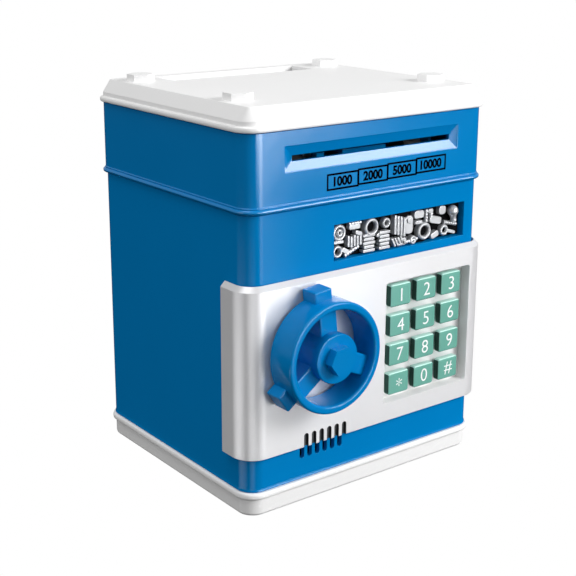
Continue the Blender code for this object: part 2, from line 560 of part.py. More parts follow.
def make_handwheel():
    """The wheel: deep ring, set-back spokes, hub, hexagonal boss and three grip tabs."""
    ring_depth = RING_BACK_Y - RING_FRONT_Y
    ring = [(RING_IN, 0.6), (RING_IN, ring_depth - 0.7), (RING_IN + 0.7, ring_depth),
            (RING_OUT - 0.9, ring_depth), (RING_OUT, ring_depth - 0.9), (RING_OUT, 0.6),
            (RING_OUT - 0.6, 0), (RING_IN + 0.6, 0), (RING_IN, 0.6)]
    wheel = turned("handwheel", ring, BLUE, (WHEEL_X, RING_BACK_Y, WHEEL_Z), (90, 0, 0), 40)
    for angle in WHEEL_ANGLES:
        join(wheel, spoke_mesh(HUB_R - 2, RING_IN + 1.8, SPOKE_W, 0, RING_BACK_Y - SPOKE_FRONT_Y),
             (WHEEL_X, RING_BACK_Y, WHEEL_Z), (0, -angle, 0))
        join(wheel, spoke_mesh(RING_OUT - 1.8, TAB_R, TAB_W, RING_BACK_Y - TAB_BACK_Y,
                               RING_BACK_Y - TAB_FRONT_Y, 0.6),
             (WHEEL_X, RING_BACK_Y, WHEEL_Z), (0, -angle, 0))
    join(wheel, rod_mesh(HUB_R, RING_BACK_Y - HUB_FRONT_Y, 32, HUB_R - 0.3),
         (WHEEL_X, RING_BACK_Y, WHEEL_Z), (90, 0, 0))
    join(wheel, rod_mesh(HEX_R, HUB_FRONT_Y - HEX_FRONT_Y + 2, 6, HEX_R - 0.25),
         (WHEEL_X, HUB_FRONT_Y + 2, WHEEL_Z), (90, -WHEEL_ANGLES[0], 0))
    cut(wheel, rod_mesh(SHAFT_R + GAP, 10, 16), (WHEEL_X, RING_BACK_Y + 1, WHEEL_Z), (90, 0, 0))
    return wheel


def spoke_mesh(inner, outer, width, back, front, edge=0.0):
    """A bar along X from inner to outer radius, its depth from back to front along -Y."""
    return block_mesh((inner, -front, -width / 2), (outer, -back, width / 2),
                      corner=edge, axis="X", segments=2)


def make_lock():
    """Shaft, notched cam and latch arm on the wheel's axis, and the solenoid below."""
    shaft = place("wheel_shaft", rod_mesh(SHAFT_R, 28, 16), STEEL,
                  (WHEEL_X, -45.0, WHEEL_Z), (90, 0, 0))
    shaft.data.shade_smooth()
    notch_half = 2.6
    cam = []
    for start, end in ((-90, 180), (180, 270)):
        side = math.degrees(math.asin(notch_half / CAM_R))
        steps = 18 if end - start > 100 else 6
        for i in range(steps + 1):
            angle = math.radians(start + side + (end - start - 2 * side) * i / steps)
            cam.append((CAM_R * math.cos(angle), CAM_R * math.sin(angle)))
        if end == 180:
            cam += [(-CAM_NOTCH_R, notch_half), (-CAM_NOTCH_R, -notch_half)]
        else:
            cam += [(-notch_half, -CAM_NOTCH_R), (notch_half, -CAM_NOTCH_R)]
    middle = (CAM_Y0 + CAM_Y1) / 2
    bore = circle(SHAFT_R + GAP, 16)
    place("latch_cam", outline_mesh(cam, CAM_Y1 - CAM_Y0, [bore]), GEAR,
          (WHEEL_X, middle, WHEEL_Z), (90, 0, 0))
    half = ARM_W / 2
    heel = circle(7.0, 16, 180)[:9]
    arm = [*heel, (half, 7.0), (half, ARM_REACH - 1), (half - 1, ARM_REACH),
           (1 - half, ARM_REACH), (-half, ARM_REACH - 1), (-half, 7.0)]
    middle = (ARM_Y0 + ARM_Y1) / 2
    place("latch_arm", outline_mesh(arm, ARM_Y1 - ARM_Y0, [bore]), STEEL,
          (WHEEL_X, middle, WHEEL_Z), (90, 0, 0))
    coil = block("lock_solenoid", (WHEEL_X - 8, -60.0, 38.0), (WHEEL_X + 8, -50.9, 53.0), STEEL,
                 corner=1.0, segments=2)
    cut(coil, rod_mesh(2.4, 20, 16), (WHEEL_X, -55.0, 42.0))
    place("lock_plunger", rod_mesh(2.0, 16.2, 16), STEEL, (WHEEL_X, -55.0, 44.0))


def make_hinge_pin():
    """The steel pin through the ears and the door's barrel, with a head on top."""
    low = DOOR_Z0 - EAR_HEIGHT
    high = DOOR_Z1 + GAP + EAR_HEIGHT + GAP
    profile = [(0, high + 1.2), (2.1, high + 1.2), (2.1, high), (PIN_R, high), (PIN_R, low), (0, low)]
    turned("hinge_pin", profile, STEEL, (HINGE_X, HINGE_Y, 0), steps=16)


def make_picture_panel():
    """The printed panel at the back of the window."""
    face = WINDOW_DEPTH - LOWER_Y
    block("picture_panel", (WINDOW_X0 + GAP, face, WINDOW_Z0 + GAP),
          (WINDOW_X1 - GAP, face + PICTURE_THICK, WINDOW_Z1 - GAP), PRINT)


def make_feeder():
    """Rollers, gears, motor and frame that draw a banknote in through the mouth."""
    low_z, high_z = NOTE_Z - ROLLER_R - NIP_GAP, NOTE_Z + ROLLER_R + NIP_GAP
    for name, z, reach in (("feed", low_z, SHAFT_HALF), ("idler", high_z, PLATE_X + 2)):
        shaft = place(f"{name}_shaft", rod_mesh(FEED_SHAFT_R, 2 * reach, 16), STEEL,
                      (-reach, ROLLER_Y, z), (0, 90, 0))
        shaft.data.shade_smooth()
        for side, x in (("left", -TYRE_X), ("right", TYRE_X)):
            bore, half = FEED_SHAFT_R + 0.1, TYRE_WIDTH / 2
            profile = [(bore, half), (ROLLER_R, half), (ROLLER_R, -half), (bore, -half), (bore, half)]
            turned(f"{name}_tyre_{side}", profile, RUBBER, (x, ROLLER_Y, z), (0, 90, 0), 20)
    floor_z = UPPER_BOTTOM + 2.4
    front, back = ROLLER_Y - 8.0, ROLLER_Y + 6.0
    frame = block("feeder_frame", (-PLATE_X, front, floor_z), (PLATE_X, back, high_z + 5.0), BLUE)
    cut(frame, block_mesh((PLATE_THICK - PLATE_X, front - PROUD, floor_z - PROUD),
                          (PLATE_X - PLATE_THICK, back + PROUD, high_z + 2 * PROUD)))
    join(frame, block_mesh((-PLATE_X - 6, front - 4.5, floor_z), (PLATE_X + 6, front + 1, floor_z + 2)))
    join(frame, block_mesh((1 - PLATE_X, back - 2, floor_z), (PLATE_X - 1, back, floor_z + 6)))
    join(frame, block_mesh((1 - PLATE_X, GUIDE_Y0, GUIDE_BAR_Z), (PLATE_X - 1, front + 1, GUIDE_BAR_Z + 2)))
    for x, half in GUIDES:
        for low, high in ((floor_z + 1, NOTE_Z - GUIDE_GAP), (NOTE_Z + GUIDE_GAP, GUIDE_BAR_Z + 1)):
            join(frame, block_mesh((x - half, GUIDE_Y0, low), (x + half, GUIDE_Y1, high)))
    for z in (low_z, high_z):
        for side in (-1, 1):
            cut(frame, rod_mesh(FEED_SHAFT_R + GAP, 6, 16), (side * PLATE_X - 3, ROLLER_Y, z),
                (0, 90, 0))
    gear = place("feed_gear", outline_mesh(gear_outline(FEED_TEETH, GEAR_MODULE), GEAR_THICK,
                                           [circle(FEED_SHAFT_R + 0.1, 16)]), GEAR,
                 (-GEAR_X, ROLLER_Y, low_z), (0, 90, 0))
    distance = (FEED_TEETH + PINION_TEETH) * GEAR_MODULE / 2 + 0.1
    motor_y = ROLLER_Y + distance
    half_tooth = 180 / PINION_TEETH
    pinion = place("motor_pinion", outline_mesh(gear_outline(PINION_TEETH, GEAR_MODULE), GEAR_THICK,
                                                [circle(1.1, 12)]), GEAR,
                   (-GEAR_X, motor_y, low_z), (0, 90, 0))
    gear.data.transform(Matrix.Rotation(math.radians(90), 4, "Z"))
    pinion.data.transform(Matrix.Rotation(math.radians(-90 + half_tooth), 4, "Z"))
    motor = block("feed_motor", (2.6 - GEAR_X, motor_y - 7.5, low_z - 10), (-16, motor_y + 7.5, low_z + 10),
                  STEEL, corner=4.0, axis="X", segments=3)
    cut(motor, rod_mesh(1.4, 8, 12), (1.6 - GEAR_X, motor_y, low_z), (0, 90, 0))
    place("motor_shaft", rod_mesh(0.8, 11, 12), STEEL, (-GEAR_X - 2, motor_y, low_z), (0, 90, 0))


def make_base_contents():
    """Battery cover, cells, contacts, speaker, main board and the four case screws."""
    inset = WALL + GAP
    cover = block("battery_cover", (inset - BOX_X, BOX_Y0 + inset, 0.2),
                  (BOX_X - inset, BOX_Y1 - inset, 1.9), WHITE)
    cut(cover, rod_mesh(1.6, 6, 12), (0, POST_Y, -1))
    cut(cover, rod_mesh(2.9, 2.3, 16), (0, POST_Y, -1), (0, 0, 5))
    screw("battery_cover_screw", 0, POST_Y, 0.1, 2.5, 1.3, 5.0)
    for i, y in enumerate(BATTERY_ROWS):
        half, tip = BATTERY_LENGTH / 2, 1.0
        profile = [(0, half), (2.6, half), (2.6, half - tip), (BATTERY_R - 0.5, half - tip),
                   (BATTERY_R, half - tip - 0.5), (BATTERY_R, 0.5 - half),
                   (BATTERY_R - 0.5, -half), (0, -half)]
        turned(f"battery_cell_{i + 1}", profile, CELL, (0, y, BATTERY_R + 2.4),
               (0, 90 if i % 2 else -90, 0), 16)
    for side, x in (("left", -1), ("right", 1)):
        outer, inner = BOX_X - WALL - GAP, BATTERY_LENGTH / 2 + GAP
        low, high = sorted((x * outer, x * (outer - 0.6)))
        plate = block(f"battery_contact_{side}", (low, BATTERY_ROWS[0] - 6, 3.0),
                      (high, BATTERY_ROWS[2] + 6, 16.0), STEEL)
        for y in BATTERY_ROWS:
            reach = outer - 0.3 - inner
            dome = join(plate, rod_mesh(3.0, reach, 16, 1.6), (x * (outer - 0.3), y, BATTERY_R + 2.4),
                        (0, -90 * x, 0))
            dome.data.shade_smooth()
    cone = [(0, 6.5), (9, 6.5), (9, 5.0), (19, 4.0), (20, 3.0), (20, 0), (17, 0), (7.5, 2.6),
            (0, 2.9)]
    turned("speaker", cone, DARK, (0, -32, BASE_FLOOR + GAP), steps=24)
    block("main_board", (-48, -50, 23.0), (48, 48, 24.6), BOARD)
    for i, (x, y) in enumerate(SCREW_PLACES):
        screw(f"base_screw_{i + 1}", x, y, 0.1, 3.0, 1.4, 18.0)


def screw(name, x, y, head_z, head_r, shank_r, length):
    """A pan-head screw, driven upwards from below."""
    head = 0.9
    profile = [(0, head_z + head + length), (shank_r - 0.5, head_z + head + length),
               (shank_r, head_z + head + length - 1), (shank_r, head_z + head),
               (head_r, head_z + head), (head_r - 0.3, head_z), (0, head_z)]
    turned(name, profile, STEEL, (x, y, 0), steps=12)


def main():
    """Build every part."""
    clear_scene()
    make_base_tray()
    make_lower_body()
    make_upper_body()
    make_top_cover()
    make_coin_chute()
    make_picture_panel()
    make_door_panel()
    make_door_back()
    make_pad_layers()
    make_keys()
    make_handwheel()
    make_lock()
    make_hinge_pin()
    make_feeder()
    make_base_contents()


main()
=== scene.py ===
import json
import math

import bmesh
import bpy
from mathutils import Matrix, Vector


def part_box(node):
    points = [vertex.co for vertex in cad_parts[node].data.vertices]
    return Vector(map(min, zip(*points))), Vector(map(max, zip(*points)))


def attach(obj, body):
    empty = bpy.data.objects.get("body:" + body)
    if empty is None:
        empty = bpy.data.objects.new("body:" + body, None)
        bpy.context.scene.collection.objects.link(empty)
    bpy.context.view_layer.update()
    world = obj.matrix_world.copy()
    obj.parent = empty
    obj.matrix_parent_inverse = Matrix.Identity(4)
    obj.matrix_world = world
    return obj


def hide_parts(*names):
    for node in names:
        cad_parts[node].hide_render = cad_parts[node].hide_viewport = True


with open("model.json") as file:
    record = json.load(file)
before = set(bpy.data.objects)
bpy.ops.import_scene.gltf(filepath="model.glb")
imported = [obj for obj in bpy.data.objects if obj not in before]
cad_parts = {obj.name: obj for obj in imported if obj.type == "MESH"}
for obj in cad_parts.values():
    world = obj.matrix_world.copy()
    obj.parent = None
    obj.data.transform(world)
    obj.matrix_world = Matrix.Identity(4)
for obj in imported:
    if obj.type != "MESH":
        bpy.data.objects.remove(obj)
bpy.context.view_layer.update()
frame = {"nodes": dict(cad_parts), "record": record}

MM = 0.001


def edge_of(node, corner, axis):
    """One coordinate of a CAD node's box in millimetres: corner 0 is low, 1 is high."""
    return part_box(node)[corner]["XYZ".index(axis)] / MM


# Casing sizes in millimetres, read from the frame where a box gives them.
CORNER = 8.2
WALL = 2.2
SEAM = 0.3
LOWER_X = -edge_of("lower_body", 0, "X")
LOWER_Y = edge_of("lower_body", 1, "Y")
LOWER_Z0 = edge_of("lower_body", 0, "Z")
LOWER_Z1 = edge_of("lower_body", 1, "Z")
BEAD = 1.3
UPPER_X = edge_of("upper_body", 1, "X") - BEAD
UPPER_Y = edge_of("upper_body", 1, "Y") - BEAD
UPPER_Z0 = LOWER_Z1 + SEAM
UPPER_Z1 = edge_of("upper_body", 1, "Z")
COVER_Z0 = UPPER_Z1 + SEAM
FLANGE = 1.6
EAVES_Z, PLATEAU_INSET = 175.3, 4.6
BOSS_R, BOSS_HEIGHT = 6.75, 3.3
BOSS_PLACES = [(x, y) for x in (-55.8, 55.8) for y in (-37.3, 42.6)]
PLATEAU_Z = edge_of("top_cover", 1, "Z") - BOSS_HEIGHT
BASE_TOP = LOWER_Z0 - SEAM
LIP, LIP_Z = 1.5, 8.4
CASH_FLOOR = 32.3
POST_PLACES = [(x, y) for x in (-56.0, 56.0) for y in (-48.0, 48.0)]
SCREW_BORE, SCREW_HEAD_BORE = 1.9, 3.4

# The door, its opening in the lower casing and its hinge.
OPENING_X0, OPENING_Z0, OPENING_Z1, OPENING_BACK = -60.0, 33.8, 99.6, -46.0
DOOR_Y = edge_of("door_panel", 0, "Y")
DOOR_X = -edge_of("door_panel", 0, "X")
DOOR_Z0 = edge_of("door_panel", 0, "Z")
DOOR_Z1 = edge_of("door_panel", 1, "Z")
DOOR_THICK, DOOR_GAP, DOOR_BACK_Y = 2.4, 0.7, -45.8
HINGE_X, HINGE_Y, BARREL_R, PIN_BORE = 71.7, DOOR_BACK_Y, 2.5, 1.5
EAR = 6.0

# Recesses and openings as low X, high X, low Z, high Z; COIN has Y in place of Z.
PAD = (6.5, 60.0, 36.9, 95.5)
PAD_DEPTH = 5.5
WINDOW = (-22.0, 57.5, 109.8, 126.3)
MOUTH = (-49.6, 50.6, 152.6, 163.8)
SLOT = (-44.4, 46.8, 156.7, 159.2)
MOUTH_DEPTH = 1.9
COIN = (-36.0, 34.0, 34.5, 51.5)
COIN_SLIT_X, COIN_SLIT_Y = 16, 1.6
VENTS, VENT_X0, VENT_PITCH, VENT_W = 6, -38.9, 4.35, 2.6
VENT_Z0, VENT_Z1, NOTCH_Z1 = 21.2, 29.8, 34.5

WHEEL_X, WHEEL_Z, WHEEL_BACK = -35.0, 73.2, edge_of("handwheel", 1, "Y")
WHEEL_ANGLES = (96.0, 216.0, 336.0)
KEY_STEM, KEY_STEM_HOLE, KEY_FOOT = 3.5, 3.9, 4.7
KEY_TEXT = {"key_1": "1", "key_2": "2", "key_3": "3", "key_4": "4", "key_5": "5", "key_6": "6",
            "key_7": "7", "key_8": "8", "key_9": "9", "key_star": "*", "key_0": "0",
            "key_hash": "#"}

# The values printed under the note mouth, the X of their outlines' sides, and their heights.
LABELS = ("1000", "2000", "5000", "10000")
LABEL_SIDES = (-27.0, -9.7, 7.4, 24.8, 43.0)
LABEL_Z0, LABEL_RISE, LABEL_TALL, LABEL_LINE = 142.0, 0.45, 7.4, 0.85


# ------------------------------------------------------------------ materials
def rgb(red, green, blue):
    """A colour given as 0 to 255 screen values, as linear light."""
    return tuple(((c / 255 + 0.055) / 1.055) ** 2.4 if c > 10 else c / 255 / 12.92
                 for c in (red, green, blue))


def node(tree, kind, inputs=(), **settings):
    """A new shader node, with its settings and its inputs' values."""
    new = tree.nodes.new(kind)
    for key, value in settings.items():
        setattr(new, key, value)
    for key, value in dict(inputs).items():
        new.inputs[key].default_value = value
    return new


def surface(name, colour, roughness=0.3, metallic=0.0, mottle=0.05, grain=0.05, peel=0.02,
            coat=0.0, specular=0.5, grain_scale=1400.0, rough_spread=0.06):
    """A moulded or sprayed surface: broad colour drift, fine grain, and a slight unevenness
    that bends its reflections. The grain's size is about 1 / grain_scale metres."""
    material = bpy.data.materials.new(name)
    material.use_nodes = True
    tree = material.node_tree
    shader = tree.nodes["Principled BSDF"]
    shader.inputs["Metallic"].default_value = metallic
    shader.inputs["Coat Weight"].default_value = coat
    shader.inputs["Coat Roughness"].default_value = 0.12
    shader.inputs["Specular IOR Level"].default_value = specular
    place = node(tree, "ShaderNodeTexCoord")
    broad = node(tree, "ShaderNodeTexNoise", {"Scale": 22.0, "Detail": 3.0})
    fine = node(tree, "ShaderNodeTexNoise", {"Scale": grain_scale, "Detail": 2.0})
    wave = node(tree, "ShaderNodeTexNoise", {"Scale": 90.0, "Detail": 1.0})
    for texture in (broad, fine, wave):
        tree.links.new(place.outputs["Object"], texture.inputs["Vector"])
    tones = node(tree, "ShaderNodeMix", data_type="RGBA")
    tones.inputs["A"].default_value = (*[c * (1 - mottle) for c in colour], 1)
    tones.inputs["B"].default_value = (*[min(1, c * (1 + mottle)) for c in colour], 1)
    tree.links.new(broad.outputs["Fac"], tones.inputs["Factor"])
    speck = node(tree, "ShaderNodeMix", data_type="RGBA", blend_type="MULTIPLY")
    speck.inputs["Factor"].default_value = mottle
    tree.links.new(tones.outputs["Result"], speck.inputs["A"])
    tree.links.new(fine.outputs["Color"], speck.inputs["B"])
    tree.links.new(speck.outputs["Result"], shader.inputs["Base Color"])
    gloss = node(tree, "ShaderNodeMapRange", {"From Min": 0.3, "From Max": 0.7,
                                              "To Min": roughness - rough_spread / 2,
                                              "To Max": roughness + rough_spread / 2})
    tree.links.new(broad.outputs["Fac"], gloss.inputs["Value"])
    tree.links.new(gloss.outputs["Result"], shader.inputs["Roughness"])
    ripples = node(tree, "ShaderNodeBump", {"Strength": peel, "Distance": 0.002})
    tree.links.new(wave.outputs["Fac"], ripples.inputs["Height"])
    bump = node(tree, "ShaderNodeBump", {"Strength": grain, "Distance": 0.0002})
    tree.links.new(fine.outputs["Fac"], bump.inputs["Height"])
    tree.links.new(ripples.outputs["Normal"], bump.inputs["Normal"])
    tree.links.new(bump.outputs["Normal"], shader.inputs["Normal"])
    return material


BLUE_TONE = rgb(0, 126, 194)
BLUE = surface("blue_moulding", BLUE_TONE, 0.13, mottle=0.03, grain=0.02, specular=0.14,
               rough_spread=0.04)
BLUE_GLOSS = surface("blue_gloss_moulding", BLUE_TONE, 0.13, mottle=0.03, grain=0.02,
                     specular=0.4, rough_spread=0.04)
WHITE = surface("white_moulding", rgb(245, 245, 245), 0.42, mottle=0.015, grain=0.08,
                specular=0.25)
SILVER = surface("silver_spray", rgb(223, 223, 225), 0.31, 0.22, mottle=0.02, grain=0.06,
                 specular=0.2, grain_scale=3000.0, rough_spread=0.01)
LINER = surface("pad_white", rgb(246, 246, 246), 0.35, mottle=0.01, grain=0.04)
MINT = surface("mint_moulding", rgb(100, 166, 151), 0.3, mottle=0.03, grain=0.04, coat=0.15)
NUMERAL = surface("numeral_white", rgb(250, 250, 250), 0.4, mottle=0.01)
INK = surface("black_print", rgb(6, 8, 14), 0.8, mottle=0.1, specular=0.0)
# Paler mint painted on the key caps' upward faces as a highlight.
MINT_PAINTED_HIGHLIGHT = surface("mint_painted_highlight", rgb(188, 234, 222), 0.35, mottle=0.03, grain=0.04)
# Darker mint painted on the key caps' side and under faces as shade.
MINT_PAINTED_SHADE = surface("mint_painted_shade", rgb(48, 80, 72), 0.5, mottle=0.08, grain=0.06, specular=0.1)
# Dark plastic for the dark CAD parts, also painted on the door's vent-notch floors as shade.
DARK_AND_PAINTED_SHADE = surface("dark_moulding_and_painted_shade", rgb(28, 29, 32), 0.5, mottle=0.1, grain=0.1)
RUBBER = surface("grey_rubber", rgb(52, 52, 54), 0.75, mottle=0.12, grain=0.25)
STEEL = surface("bright_steel", rgb(190, 190, 194), 0.28, 1.0, mottle=0.06, grain=0.04)
CHROME = surface("chrome", rgb(188, 190, 193), 0.3, 0.35, mottle=0.05, peel=0.05)
BLACK_CARD = surface("black_card", rgb(8, 8, 10), 0.8, mottle=0.2, specular=0.03)
BOARD = surface("solder_mask", rgb(18, 92, 52), 0.4, mottle=0.15, grain=0.1)
SLEEVE = surface("cell_sleeve", rgb(40, 42, 48), 0.3, mottle=0.1)
NYLON = surface("gear_nylon", rgb(226, 222, 208), 0.45, mottle=0.04)


# ------------------------------------------------------------------ mesh tools
def mesh_of(bm, name="shape"):
    """The bmesh as a mesh, normals out."""
    bmesh.ops.recalc_face_normals(bm, faces=bm.faces)
    mesh = bpy.data.meshes.new(name)
    bm.to_mesh(mesh)
    bm.free()
    return mesh


def block(low, high, corner=0.0, axis="Z", edge=0.0, segments=8):
    """A box in millimetres. corner rounds the four edges along axis, edge the end rims."""
    low, high = Vector(low), Vector(high)
    along = "XYZ".index(axis)
    bm = bmesh.new()
    bmesh.ops.create_cube(bm, size=1.0)
    bmesh.ops.scale(bm, vec=(high - low) * MM, verts=bm.verts)
    bmesh.ops.translate(bm, vec=(high + low) / 2 * MM, verts=bm.verts)
    if corner:
        edges = [e for e in bm.edges
                 if abs((e.verts[0].co - e.verts[1].co).normalized()[along]) > 0.99]
        bmesh.ops.bevel(bm, geom=edges, offset=corner * MM, segments=segments, profile=0.5,
                        affect="EDGES")
    if edge:
        rims = {e for f in bm.faces if abs(f.normal[along]) > 0.99 for e in f.edges}
        bmesh.ops.bevel(bm, geom=list(rims), offset=edge * MM, segments=4, profile=0.5,
                        affect="EDGES")
    return mesh_of(bm)


def rod(radius, length, sides=48, tip=None):
    """A cylinder or frustum about Z from 0 to length, in millimetres."""
    bm = bmesh.new()
    bmesh.ops.create_cone(bm, cap_ends=True, segments=sides, radius1=radius * MM,
                          radius2=(radius if tip is None else tip) * MM, depth=length * MM)
    bmesh.ops.translate(bm, vec=(0, 0, length * MM / 2), verts=bm.verts)
    return mesh_of(bm)


def lathe(profile, steps=64):
    """A turned mesh about Z from (radius, height) points; a repeated end closes a ring."""
    bm = bmesh.new()
    closed = profile[0] == profile[-1]
    points = profile[:-1] if closed else profile
    rings = []
    for radius, height in points:
        if radius < 1e-6:
            rings.append([bm.verts.new((0, 0, height * MM))])
            continue
        rings.append([bm.verts.new((radius * MM * math.cos(math.tau * i / steps),
                                    radius * MM * math.sin(math.tau * i / steps),
                                    height * MM)) for i in range(steps)])
    pairs = list(zip(rings, rings[1:] + rings[:1])) if closed else list(zip(rings, rings[1:]))
    for first, second in pairs:
        for i in range(steps):
            j = (i + 1) % steps
            corners = [first[i % len(first)], first[j % len(first)],
                       second[j % len(second)], second[i % len(second)]]
            corners = list(dict.fromkeys(corners))
            if len(corners) > 2:
                bm.faces.new(corners)
    return mesh_of(bm)


def round_rectangle(half_x, half_y, radius, steps):
    """Points round a rounded rectangle, the same number for every size."""
    points = []
    for sx, sy, start in ((1, 1, 0), (-1, 1, 90), (-1, -1, 180), (1, -1, 270)):
        for i in range(steps + 1):
            angle = math.radians(start + 90 * i / steps)
            points.append((sx * (half_x - radius) + radius * math.cos(angle),
                           sy * (half_y - radius) + radius * math.sin(angle)))
    return points


def casing(half_x, half_y, profile, closed, steps=12):
    """A casing lofted through rounded rectangles. The profile's points are (outset, height),
    or (outset, height, corner radius); a closed profile makes a tube, an open one is capped
    at both ends."""
    bm = bmesh.new()
    loops = []
    for outset, height, *given in profile:
        radius = given[0] if given else max(0.4, CORNER + outset)
        outline = round_rectangle(half_x + outset, half_y + outset, radius, steps)
        loops.append([bm.verts.new((x * MM, y * MM, height * MM)) for x, y in outline])
    pairs = list(zip(loops, loops[1:] + loops[:1])) if closed else list(zip(loops, loops[1:]))
    count = len(loops[0])
    for first, second in pairs:
        for i in range(count):
            j = (i + 1) % count
            bm.faces.new((first[i], first[j], second[j], second[i]))
    if not closed:
        bm.faces.new(loops[0][::-1])
        bm.faces.new(loops[-1])
    return mesh_of(bm)


def bead(outset, low, high, steps=6):
    """Profile points of a half-round bead that stands outset proud between two heights."""
    middle, half = (low + high) / 2, (high - low) / 2
    return [(outset * math.cos(math.radians(a)), middle + half * math.sin(math.radians(a)))
            for a in [-90 + 180 * i / steps for i in range(steps + 1)]]


class Solid:
    """A mesh built up by Boolean steps and then given its finish."""

    def __init__(self, name, mesh):
        self.name = name
        self.obj = bpy.data.objects.new(name, mesh)
        bpy.context.scene.collection.objects.link(self.obj)
        self.tools = []

    def step(self, operation, mesh, location, rotation):
        tool = bpy.data.objects.new("tool", mesh)
        tool.location = Vector(location) * MM
        tool.rotation_euler = [math.radians(a) for a in rotation]
        bpy.context.scene.collection.objects.link(tool)
        modifier = self.obj.modifiers.new("step", "BOOLEAN")
        modifier.operation = operation
        modifier.solver = "EXACT"
        modifier.object = tool
        self.tools.append(tool)
        return self

    def cut(self, mesh, location=(0, 0, 0), rotation=(0, 0, 0)):
        return self.step("DIFFERENCE", mesh, location, rotation)

    def join(self, mesh, location=(0, 0, 0), rotation=(0, 0, 0)):
        return self.step("UNION", mesh, location, rotation)

    def finish(self, material, body, stands_for=None, bevel=0.0, segments=2,
               angle=32, matrix=None):
        """Apply the steps, round the sharp edges and hang the piece on its body."""
        if self.tools:
            graph = bpy.context.evaluated_depsgraph_get()
            mesh = bpy.data.meshes.new_from_object(self.obj.evaluated_get(graph))
            self.obj.modifiers.clear()
            self.obj.data = mesh
            for tool in self.tools:
                bpy.data.objects.remove(tool, do_unlink=True)
        mesh = self.obj.data
        mesh.name = self.name
        if matrix:
            mesh.transform(matrix)
        mesh.materials.clear()
        mesh.materials.append(material)
        for face in mesh.polygons:
            face.material_index = 0
        shade(self.obj, bevel, segments, angle)
        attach(self.obj, body)
        if stands_for:
            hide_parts(stands_for)
        return self.obj


def shade(obj, bevel, segments=2, angle=32):
    """Smooth shading that keeps sharp edges, with a small rounding on them."""
    obj.data.shade_smooth()
    obj.data.set_sharp_from_angle(angle=math.radians(angle))
    if bevel:
        modifier = obj.modifiers.new("rounding", "BEVEL")
        modifier.width = bevel * MM
        modifier.segments = segments
        modifier.limit_method = "ANGLE"
        modifier.angle_limit = math.radians(angle)
        modifier.harden_normals = True
        modifier.use_clamp_overlap = True
    even = obj.modifiers.new("even_shading", "WEIGHTED_NORMAL")
    even.mode = "FACE_AREA"
    even.weight = 90
    even.keep_sharp = True


def extruded(outline, low, high):
    """A prism about Z from low to high over a convex or concave outline, in millimetres."""
    bm = bmesh.new()
    rings = [[bm.verts.new((x * MM, y * MM, z * MM)) for x, y in outline] for z in (low, high)]
    for i in range(len(outline)):
        j = (i + 1) % len(outline)
        bm.faces.new((rings[0][i], rings[0][j], rings[1][j], rings[1][i]))
    bm.faces.new(rings[0][::-1])
    bm.faces.new(rings[1])
    return mesh_of(bm)


def stadium(width, low_z, high_z, front, back):
    """An upright slot with round ends, as a cutter centred on X = 0."""
    half = width / 2
    arc = [math.radians(15 * i) for i in range(13)]
    outline = [(half * math.cos(a), high_z - half + half * math.sin(a)) for a in arc]
    outline += [(-half * math.cos(a), low_z + half - half * math.sin(a)) for a in arc]
    mesh = extruded(outline, -back, -front)
    mesh.transform(Matrix.Rotation(math.radians(90), 4, "X"))
    return mesh


def gathered(pieces):
    """Several (mesh, matrix) pairs as one mesh."""
    bm = bmesh.new()
    for mesh, matrix in pieces:
        moved = mesh.copy()
        moved.transform(matrix)
        bm.from_mesh(moved)
    return mesh_of(bm)


# ------------------------------------------------------------------ casing
def make_base():
    """White base tray: rounded lip, battery well, screw bores and a row of sound slots."""
    outer = [(-1.6, 0.0), (-0.9, 0.15), (-0.3, 0.7), (0.0, 1.5), (0.0, LIP_Z - 0.3),
             (0.25, LIP_Z)]
    lip = [(LIP - 0.5, LIP_Z), (LIP - 0.1, LIP_Z + 0.35), (LIP, LIP_Z + 0.9),
           (LIP, BASE_TOP - 1.1), (LIP - 0.25, BASE_TOP - 0.45), (LIP - 0.8, BASE_TOP)]
    inner = [(-WALL, BASE_TOP), (-WALL, 2.0)]
    tray = Solid("tray", casing(LOWER_X, LOWER_Y, outer + lip + inner, False))
    low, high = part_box("battery_cover")
    low, high = low / MM, high / MM
    well_low = (low.x - WALL - SEAM, low.y - WALL - SEAM, 1.0)
    well_high = (high.x + WALL + SEAM, high.y + WALL + SEAM, 20.0)
    tray.join(block(well_low, well_high))
    tray.cut(block((low.x - SEAM, low.y - SEAM, -5), (high.x + SEAM, high.y + SEAM, 18.4)))
    for name in ("base_screw_1", "base_screw_2", "base_screw_3", "base_screw_4"):
        low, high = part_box(name)
        x, y = (low.x + high.x) / 2 / MM, (low.y + high.y) / 2 / MM
        tray.cut(rod(SCREW_BORE, 6), (x, y, -2))
        tray.cut(rod(SCREW_HEAD_BORE, 2.2), (x, y, -1), (0, 0, 3))
    for i in range(-2, 3):
        tray.cut(stadium(2.4, -12.0, 12.0, -5, 5), (i * 6.0, -32, 0), (90, 0, 0))
    tray.finish(WHITE, "casing", "base_tray", bevel=0.2, segments=2, angle=50)


